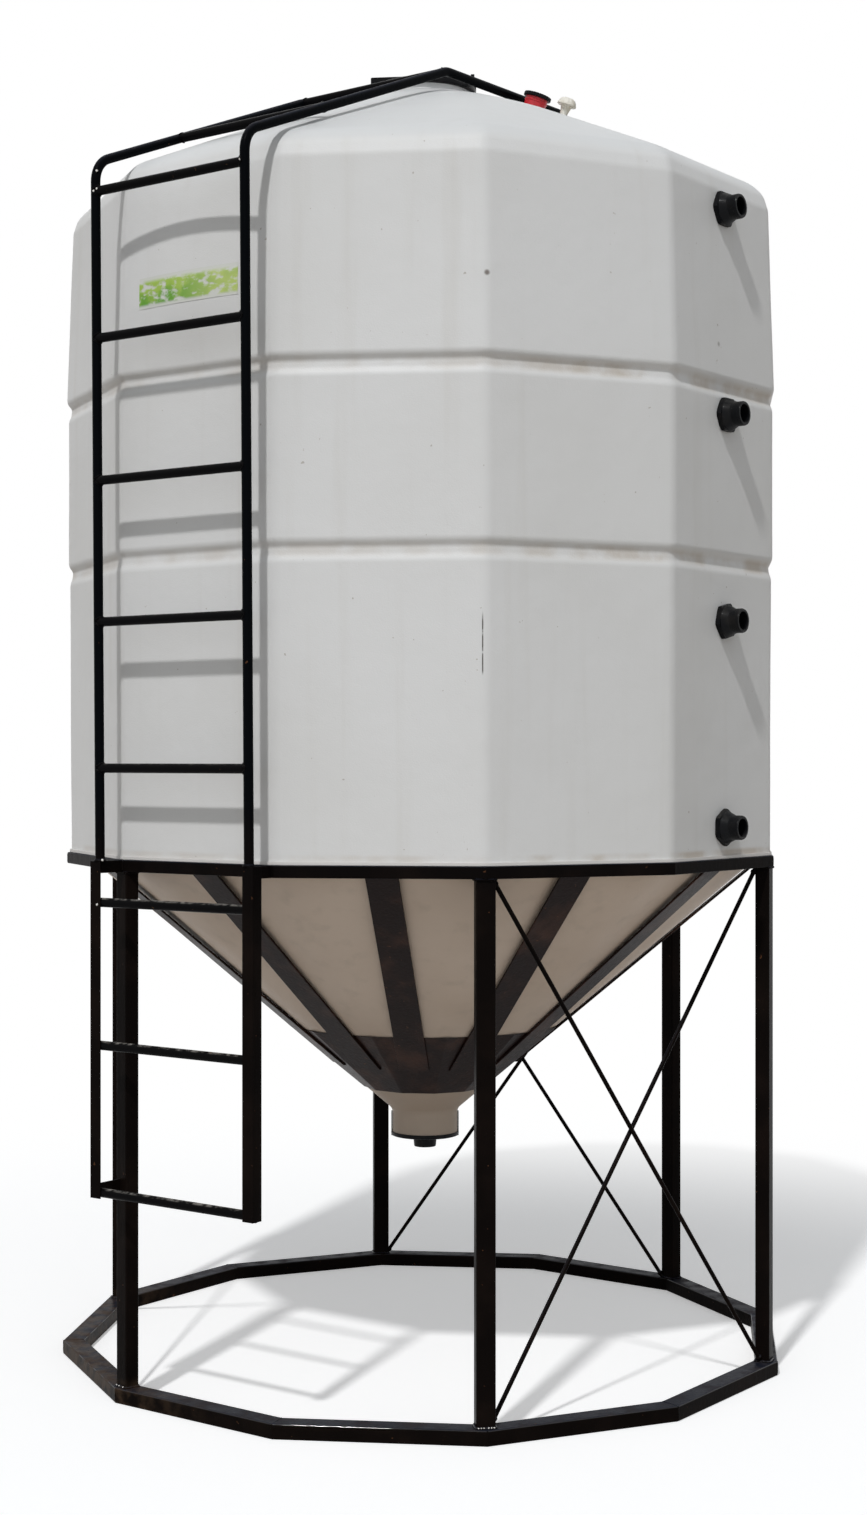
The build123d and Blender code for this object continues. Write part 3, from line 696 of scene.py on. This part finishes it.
level_place = Matrix.Identity(4)
outlet_profile = [(0.030, 0.574), (0.0315, 0.5742), (0.0325, 0.578), (0.0345, 0.600), (0.0350, 0.6065),
                  (0.094, 0.607), (0.0985, 0.6085), (0.100, 0.612), (0.100, 0.616), (0.0990, spout_foot)]
outlet_skins = [turned(outlet_profile, level_place, sides=72)]
clip_distance = 0.0978
clip_section = round_cornered(0.003, 0.026, 0.0008, 2)
clip_tip = [(x, 0.92 * y) for x, y in clip_section]
for bearing in (171.5, 351.5):
    rows = upright(clip_section, bearing, clip_distance, (0.607, 0.62, 0.64))
    rows += upright(clip_tip, bearing, clip_distance, (0.66, 0.677))
    outlet_skins.append(surface(rows, ends=True))
outlet = piece("outlet_closure", outlet_skins, black_plastic)
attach(outlet, "root")
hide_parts("outlet_cap")

# Lid: moulded black screw lid over the hatch neck, with eight grip lugs round its skirt and a raised
# ring on its top. A cross bar and a prong, each on a block at the rim, serve to turn it.
lug_count = 8
lug_half = 0.085
lug_reach = 0.0085
skirt_top = 3.6875


def lugged(radius, height, turn):
    """Radius of the lid's skirt with its lugs."""
    off = (turn * lug_count / (2 * pi) + 0.5) % 1 - 0.5
    lug = max(0.0, 1 - (abs(off) / lug_half) ** 4) if height < skirt_top and radius > 0.14 else 0.0
    return radius + lug_reach * min(1.0, 1.6 * lug)


lid_profile = [(0.1386, 3.675), (0.1475, 3.675), (0.1503, 3.6762), (0.151, 3.678), (0.151, 3.682),
               (0.151, 3.6855), (0.1505, 3.6886), (0.149, 3.6918), (0.146, 3.6942), (0.142, 3.695),
               (0.118, 3.695), (0.115, 3.6935), (0.112, 3.6918), (0.060, 3.6915), (0.058, 3.693),
               (0.030, 3.693), (0.012, 3.693)]
lid_skins = [turned(lid_profile, level_place, sides=192, shape=lugged)]
block_section = round_cornered(0.038, 0.024, 0.003, 3)
block_distance = 0.132
bar_bearing = 351.5
bar_out = outwards(bar_bearing)
bar_across = outwards(bar_bearing + 90)
bar_rise = 0.034
bar_layers = ((3.708, 1.0), (3.7300, 1.0), (3.7318, 0.994), (3.7325, 0.985))
for block_bearing, middle, length in ((bar_bearing - 180, -0.0165, 0.287), (bar_bearing, 0.1405, 0.011)):
    block_rows = upright(block_section, block_bearing, block_distance, (3.688, 3.715))
    lid_skins.append(surface(block_rows, ends=True))
    bar_section = round_cornered(length, 0.020, 0.0025, 3)
    rows = []
    for level, narrowing in bar_layers:
        rows.append([bar_out * (middle + narrowing * x) + bar_across * narrowing * y
                     + Vector((0, 0, level + bar_rise * (middle + x))) for x, y in bar_section])
    lid_skins.append(surface(rows, ends=True))
lid = piece("screw_lid", lid_skins, black_plastic, crease=32)
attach(lid, "root")
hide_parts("lid")
# Fill socket: a red moulded socket let into the roof, square to its slope, and closed by a flat black
# cap with a milled edge.
port_bearing = radians(334)
socket_distance = 0.329


def roof_height(radius):
    """Height of the roof's corner line at a radius."""
    for (outer, low, _), (inner, high, _) in zip(roof_outline, roof_outline[1:]):
        if inner <= radius <= outer:
            return low + (high - low) * (outer - radius) / (outer - inner)
    return neck_top


def on_roof(radius, half=0.034):
    """Place on the roof at the ports' bearing, with its own axis square to the slope."""
    lean = atan2(roof_height(radius - half) - roof_height(radius + half), 2 * half)
    middle = Vector((radius * cos(port_bearing), radius * sin(port_bearing), roof_height(radius)))
    return Matrix.Translation(middle) @ Matrix.Rotation(port_bearing, 4, "Z") @ Matrix.Rotation(lean, 4, "Y")


red_plastic = Finish("red_polypropylene", {"Base Color": (0.64, 0.018, 0.030, 1), "Roughness": 0.4})
red_plastic.cover(red_plastic.patches(30.0, 4.0, 2.0, 0.4, 0.75), (0.42, 0.016, 0.024, 1))
red_plastic.feed("Roughness", 0.32 + 0.2 * red_plastic.clouds(50.0, 3.0, 6.0))
red_plastic.relief(red_plastic.clouds(300.0, 2.0, 3.0), 0.0003)
socket_profile = [(0.0340, -0.006), (0.0340, 0.006), (0.0322, 0.0075), (0.0322, 0.0260), (0.0340, 0.0275),
                  (0.0340, 0.0300), (0.0326, 0.0312), (0.0326, 0.0400)]
socket = piece("fill_socket_body", [turned(socket_profile, on_roof(socket_distance))], red_plastic)
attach(socket, "root")
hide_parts("fill_socket")

mill_count = 28
mill_depth = 0.0011
mill_from = 0.036


def milled(radius, height, turn):
    """Radius of the cap with its milled edge."""
    return radius - (mill_depth if radius > mill_from and cos(turn * mill_count) < 0 else 0.0)


cap_profile = [(0.030, 0.0385), (0.0394, 0.0387), (0.0404, 0.0399), (0.0406, 0.0415), (0.0406, 0.0476),
               (0.0398, 0.0494), (0.0381, 0.0500), (0.026, 0.0500), (0.024, 0.0488), (0.008, 0.0488)]
cap_skin = turned(cap_profile, on_roof(socket_distance), sides=168, shape=milled)
cap = piece("fill_cap_body", [cap_skin], black_plastic)
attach(cap, "root")
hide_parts("fill_cap")

# Vent: a small cream mushroom of moulded plastic. Its stem widens upwards and its domed cap has a rim
# and shallow notches.
cream_plastic = Finish("cream_polyethylene", {"Base Color": (0.86, 0.83, 0.75, 1), "Roughness": 0.5})
cream_plastic.cover(cream_plastic.patches(34.0, 4.0, 2.0, 0.4, 0.75), (0.66, 0.60, 0.47, 1))
cream_plastic.feed("Roughness", 0.42 + 0.2 * cream_plastic.clouds(40.0, 3.0, 5.0))
cream_plastic.relief(cream_plastic.clouds(260.0, 2.0, 4.0), 0.0004)
notch_count = 6
cap_rim = 0.0475
vent_distance = 0.416


def notched(radius, height, turn):
    """Radius of the vent's cap with its notches."""
    notch = 0.05 * max(0.0, cos(turn * notch_count)) ** 6
    return radius * (1 - notch) if height > cap_rim and radius > 0.01 else radius


vent_profile = [(0.0095, -0.006), (0.0095, 0.008), (0.0118, 0.022), (0.0150, 0.034), (0.0170, 0.040),
                (0.0262, 0.0404), (0.0283, 0.0418), (0.0285, 0.0445), (0.0276, 0.0468), (0.0262, 0.0482),
                (0.0250, 0.0530), (0.0215, 0.0585), (0.0155, 0.0622), (0.0080, 0.0637), (0.002, 0.064)]
vent_skin = turned(vent_profile, on_roof(vent_distance), sides=72, shape=notched)
vent = piece("vent_mushroom", [vent_skin], cream_plastic)
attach(vent, "root")
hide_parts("vent")


# Side fittings: four black bulkhead fittings in a line on one face of the tank, each a rubber washer,
# a hexagon flange, a tapered shoulder and a threaded mouth that stands open.
fitting_bearing = 315
seat_half = 0.033
hexagon_half = 0.044
hexagon_depth = 0.0141
thread_start = 0.0334
thread_pitch = 0.0027
thread_turns = 9


def wall_radius(height):
    """Corner radius of the wall at a height."""
    line = wall_outline + roof_outline[:1]
    for (lower, bottom, _), (upper, top, _) in zip(line, line[1:]):
        if bottom <= height <= top:
            return lower + (upper - lower) * (height - bottom) / (top - bottom)
    return line[-1][0]


def hexagon(radius, height, turn):
    """Radius of the fitting's body: a chamfered hexagon near the wall, round further out."""
    off = (turn + radians(30)) % radians(60) - radians(30)
    return min(radius, hexagon_half / cos(off)) if height < hexagon_depth else radius


fitting_profile = [(0.0400, -0.001), (0.0460, -0.001), (0.0480, 0.001), (0.0508, 0.002), (0.0508, 0.0115),
                   (0.0490, 0.0138), (0.0435, 0.0142), (0.0430, 0.0160), (0.0352, 0.0316), (0.0336, 0.0326)]
for k in range(thread_turns):
    crest = thread_start + thread_pitch * k
    fitting_profile += [(0.0330, crest), (0.0318, crest + 0.0013)]
fitting_profile += [(0.0322, 0.0580), (0.0315, 0.0596), (0.0305, 0.0600), (0.0262, 0.0600), (0.0250, 0.0590),
                    (0.0250, 0.0400), (0.0248, 0.0160)]
for number, (height, turn) in enumerate(((1.533, 30), (2.0877, 12), (2.6423, 0), (3.197, 0)), start=1):
    narrowing = (wall_radius(height - seat_half) - wall_radius(height + seat_half)) * slant
    lean = pi / 2 - atan2(narrowing, 2 * seat_half)
    seat = outwards(fitting_bearing) * wall_radius(height) * slant + Vector((0, 0, height))
    placed = Matrix.Translation(seat) @ Matrix.Rotation(radians(fitting_bearing), 4, "Z")
    placed = placed @ Matrix.Rotation(lean, 4, "Y") @ Matrix.Rotation(radians(turn), 4, "Z")
    fitting_skin = turned(fitting_profile, placed, sides=96, shape=hexagon)
    fitting = piece(f"bulkhead_fitting_{number}", [fitting_skin], black_plastic, crease=30)
    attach(fitting, "root")
    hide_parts(f"side_fitting_{number}")

# Ladder stiles: two lengths of angle iron that hang from the ring beam by flat arms, welded at the
# corners and painted with the stand.
ladder_out = outwards(225)
ladder_side = outwards(225 + 90)


def at_ladder(distance, along, height):
    """Point by its distance from the axis and its place along the ladder's face."""
    return ladder_out * distance + ladder_side * along + Vector((0, 0, height))


ladder_plane = 1.103
stile_half = 0.282
stile_foot = 0.560
angle_wall = 0.003
rail_half = 0.259
arm_start = beam_radius * slant
arm_height = 1.432
arm_section = round_cornered(0.006, 0.032, 0.0012, 2)
angle_section = [(0, 0), (-0.0335, 0), (-0.035, 0.0008), (-0.035, angle_wall), (-0.0045, angle_wall),
                 (-angle_wall, 0.0045), (-angle_wall, 0.035), (-0.0008, 0.035), (0, 0.0335)]
for name, side in (("left", -1), ("right", 1)):
    rows = [[at_ladder(ladder_plane + x, side * (stile_half - y), z) for x, y in angle_section]
            for z in (stile_foot, 0.8, 1.1, 1.3, beam_top)]
    skins = [surface(rows, ends=True)]
    arm_along = side * rail_half
    rows = [[at_ladder(reach, arm_along + x, arm_height + y) for x, y in arm_section]
            for reach in (arm_start, 1.03, 1.06, ladder_plane - angle_wall)]
    skins.append(surface(rows, ends=True))
    for reach, inset in ((arm_start + 0.001, 0.0035), (ladder_plane - 0.004, 0.004)):
        skins.append(weld_bead([at_ladder(reach, arm_along - side * inset, level)
                                for level in (beam_bottom + 0.003, beam_top - 0.002)]))
    stile = piece(f"stile_angle_{name}", skins, stand_paint)
    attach(stile, "root")
    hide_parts(f"ladder_stile_{name}")

# Ladder rails: bent 1 inch tube from the arms up the wall, over the shoulder and on along the roof to
# beyond the lid, where the ends are left open.
rail_radius = 0.0127
rail_bore = rail_radius - 0.0020
rail_distance = ladder_plane - rail_radius
rail_bend = 0.075
bend_distance = rail_distance + 0.017
bend_height = 3.286
top_distance = 0.250
end_distance = -0.330
rail_top = roof_height(top_distance) + rail_radius + 0.0003


def bent_path(points, bend_radius, step=radians(7)):
    """Straight runs joined by arcs of one radius."""
    path = [points[0]]
    for before, corner, after in zip(points, points[1:], points[2:]):
        coming = (corner - before).normalized()
        going = (after - corner).normalized()
        turn = coming.angle(going)
        reach = bend_radius * sin(turn / 2) / cos(turn / 2)
        count = max(3, round(turn / step))
        start = corner - coming * reach
        inward = (going - coming * going.dot(coming)).normalized()
        middle = start + inward * bend_radius
        for i in range(count + 1):
            t = turn * i / count
            path.append(middle - inward * bend_radius * cos(t) + coming * bend_radius * sin(t))
    return path + [points[-1]]


for name, side in (("left", -1), ("right", 1)):
    along = side * rail_half
    rail_corners = [(rail_distance, beam_top), (bend_distance, bend_height), (top_distance, rail_top),
                    (end_distance, rail_top + 0.013)]
    rail_line = bent_path([at_ladder(reach, along, level) for reach, level in rail_corners], rail_bend)
    last = (rail_line[-1] - rail_line[-2]).to_track_quat("Z", "Y").to_matrix().to_4x4()
    mouth = [(rail_radius, 0.0), (rail_radius - 0.0004, 0.0005), (rail_bore + 0.0004, 0.0005),
             (rail_bore, 0.0), (rail_bore, -0.040), (0.0005, -0.040)]
    foot_weld = [at_ladder(rail_distance, along, beam_top + above) for above in (0.0005, 0.0035, 0.0065)]
    skins = [round_tube(rail_line, rail_radius, sides=24, ends=False),
             turned(mouth, Matrix.Translation(rail_line[-1]) @ last, sides=24, ends=False),
             round_tube(foot_weld, [0.0165, 0.0155, 0.0128], sides=20)]
    rail = piece(f"rail_tube_{name}", skins, stand_paint)
    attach(rail, "root")
    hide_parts(f"ladder_rail_{name}")

# Rungs: eight straight bars across the ladder and two over the roof. Use has worn the paint off their
# tops, most of all on the lower ones.
rung_paint = Finish("worn_black_paint", {"Base Color": (0.0040, 0.0038, 0.0042, 1), "Roughness": 0.3,
                                         "Specular IOR Level": 0.02})
rung_top = rung_paint.between(rung_paint.upward, 0.55, 0.98)
trodden = rung_top * rung_paint.patches(46.0, 5.0, 6.0, 0.42, 0.66)
low_down = 1 - rung_paint.between(rung_paint.z, 1.42, 1.75)
worn = trodden * (0.18 + 0.82 * low_down)
rung_paint.cover(worn, (0.25, 0.235, 0.215, 1))
rung_chips = rung_paint.patches(70.0, 4.0, 15.0, 0.69, 0.73)
rung_paint.cover(rung_chips * 0.7, (0.12, 0.06, 0.03, 1))
rung_paint.feed("Roughness", 0.22 + 0.16 * rung_paint.clouds(60.0, 3.0, 2.0) + 0.25 * worn)
rung_paint.relief(0.5 * rung_paint.clouds(120.0, 2.0, 7.0) - worn, 0.0006)
rung_radius = 0.0125
rung_steps = 12
weld_steps = 24
rung_heights = [0.574, 0.962, 1.339, 1.693, 2.078, 2.450, 2.824, 3.210]


def rung_end_weld(distance, along, height, side, flat, bead):
    """Ring of weld round a rung's end, shaped to the tube that it meets, or flat on an angle iron."""
    ring_radius = rung_radius + 0.0010
    ring = []
    for i in range(weld_steps + 1):
        t = 2 * pi * i / weld_steps
        out = ring_radius * cos(t)
        back = 0.0 if flat else sqrt(max(rail_radius ** 2 - out ** 2, 1e-9))
        ring.append(at_ladder(distance + out, side * (along - back - 0.0004), height + ring_radius * sin(t)))
    return weld_bead(ring, radius=bead, pitch=0.006)


def rung(distance, height, half, along, flat=False, bead=0.0024):
    """Skins of a bar across the ladder, and of the weld at both its ends."""
    line = [at_ladder(distance, half * (2 * i / rung_steps - 1), height) for i in range(rung_steps + 1)]
    welds = [rung_end_weld(distance, along, height, side, flat, bead) for side in (-1, 1)]
    return [round_tube(line, rung_radius, sides=20)] + welds


def rail_reach(height):
    """Distance of the rails from the axis at a height on the wall."""
    return rail_distance + (bend_distance - rail_distance) * (height - beam_top) / (bend_height - beam_top)


stile_inside = stile_half - angle_wall
lower_distance = ladder_plane - angle_wall - rung_radius
lower_skins = []
for height in rung_heights[:3]:
    lower_skins += rung(lower_distance, height, stile_inside, stile_inside, flat=True)
lower = piece("rung_bars_lower", lower_skins, rung_paint)
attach(lower, "root")
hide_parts("ladder_rungs_lower")

rung_half = rail_half - 0.006
upper_skins = []
for height in rung_heights[3:]:
    upper_skins += rung(rail_reach(height), height, rung_half, rail_half)
upper = piece("rung_bars_upper", upper_skins, rung_paint)
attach(upper, "root")
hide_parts("ladder_rungs_upper")

shoulder_distance = 0.782
slope_share = (bend_distance - shoulder_distance) / (bend_distance - top_distance)
shoulder_height = bend_height + slope_share * (rail_top - bend_height)
roof_skins = []
for bar_distance, height in ((shoulder_distance, shoulder_height), (top_distance, rail_top - 0.0013)):
    roof_skins += rung(bar_distance, height, rung_half, rail_half, bead=0.0014)
roof_rungs = piece("rung_bars_roof", roof_skins, rung_paint)
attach(roof_rungs, "root")
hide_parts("roof_rungs")

# Strut: a flat bar that ties the foot of the left stile back to the nearest leg.
strut_height = 0.5775
strut_thickness = 0.006
strut_section = round_cornered(strut_thickness, 0.035, 0.0012, 2)
strut_along = strut_thickness / 2 - stile_inside
strut_line = [leg_middle * slant + 0.0145, 1.03, 1.05, lower_distance - rung_radius - 0.0003]
rows = [[at_ladder(reach, strut_along + x, strut_height + y) for x, y in strut_section]
        for reach in strut_line]
strut = piece("strut_bar", [surface(rows, ends=True)], stand_paint)
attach(strut, "root")
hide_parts("ladder_strut")

# Weld glints: small pale drops on the welds at the ends of some rungs and at the feet of two legs. Their
# pale colour is a painted highlight that stands in for the lamp's glints on the welds.
# Painted highlight: the drops' pale colour stands for glints.
glint_paint = Finish("painted_weld_glint", {"Base Color": (0.78, 0.77, 0.74, 1), "Metallic": 0.4,
                                       "Roughness": 0.35})
glint_paint.cover(glint_paint.patches(300.0, 3.0, 4.0, 0.4, 0.7), (0.40, 0.36, 0.32, 1))
glint_paint.feed("Roughness", 0.28 + 0.2 * glint_paint.clouds(220.0, 2.0, 1.0))
glint_paint.relief(glint_paint.clouds(500.0, 2.0, 2.0), 0.0003)
drop_profile = [(0.0010, -0.0034), (0.0026, -0.0024), (0.0036, 0.0), (0.0026, 0.0024), (0.0010, 0.0034)]
upper_reach = rail_reach(rung_heights[-1])
drops = []
for drop_distance, along, height in ((upper_reach + 0.0118, -rail_half + 0.0040, 3.2085),
                                     (upper_reach + 0.0105, -rail_half + 0.0150, 3.2130),
                                     (bend_distance + 0.0060, -rail_half + 0.0105, 3.262),
                                     (ladder_plane + 0.0004, -stile_half + 0.0250, 1.334),
                                     (ladder_plane - 0.0030, -rail_half + 0.0180, 1.4515),
                                     (upper_reach + 0.0118, rail_half - 0.0050, 3.213)):
    placed = Matrix.Translation(at_ladder(drop_distance, along, height))
    drops.append(turned(drop_profile, placed, sides=12))
for bearing, spots in ((270, (-0.020, -0.013, -0.006, 0.006, 0.013, 0.020)), (210, (-0.017, -0.004, 0.015))):
    foot = Matrix.Rotation(radians(bearing), 4, "Z") @ Matrix.Translation((leg_middle + 0.0232, 0, 0.0428))
    for across in spots:
        lying = Matrix.Translation((0, across, 0)) @ Matrix.Rotation(pi / 2, 4, "X") @ Matrix.Scale(0.65, 4)
        drops.append(turned(drop_profile, foot @ lying, sides=12))
glints = piece("weld_glints", drops, glint_paint, crease=80)
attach(glints, "root")

# Worn label: a thin film on the upper band of the ladder's face, bleached green and flaked at its
# edges, with nothing left on it to read.
label_start = -0.190
label_length = 0.348
label_foot = 2.904
label_height = 0.082
label_tilt = 0.00004
label_lift = 0.0006
label_columns = 24
label_rows = 6
label_finish = Finish("bleached_film", {"Base Color": (0.13, 0.36, 0.03, 1), "Roughness": 0.5})
above_edge = label_finish.between(label_finish.z, label_foot + 0.004, label_foot + 0.014)
over_edge = label_finish.between(label_finish.z, label_foot + 0.064, label_foot + 0.078)
film = label_finish.patches((34, 34, 62), 4.0, 3.0, 0.37, 0.53) * above_edge * (1 - over_edge)
yellowed = 1 - label_finish.between(label_finish.y, -0.80, -0.66)
label_finish.cover(label_finish.patches(12.0, 3.0, 8.0, 0.4, 0.6), (0.38, 0.56, 0.09, 1))
label_finish.cover(yellowed * 0.6, (0.62, 0.70, 0.24, 1))
label_finish.cover(1 - film, (0.70, 0.71, 0.66, 1))
label_finish.feed("Roughness", 0.35 + 0.3 * film)
label_finish.relief(film, 0.0004)
label_points = []
for j in range(label_rows + 1):
    for i in range(label_columns + 1):
        along = label_start + label_length * i / label_columns
        height = label_foot + label_height * j / label_rows + label_tilt * i
        point = slightly_uneven(at_ladder(wall_radius(height) * slant, along, height))
        label_points.append(point + ladder_out * label_lift)
label_faces = []
for j in range(label_rows):
    for i in range(label_columns):
        low = j * (label_columns + 1) + i
        high = low + label_columns + 1
        label_faces.append((low, low + 1, high + 1, high))
label = piece("worn_label", [(label_points, label_faces)], label_finish)
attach(label, "root")
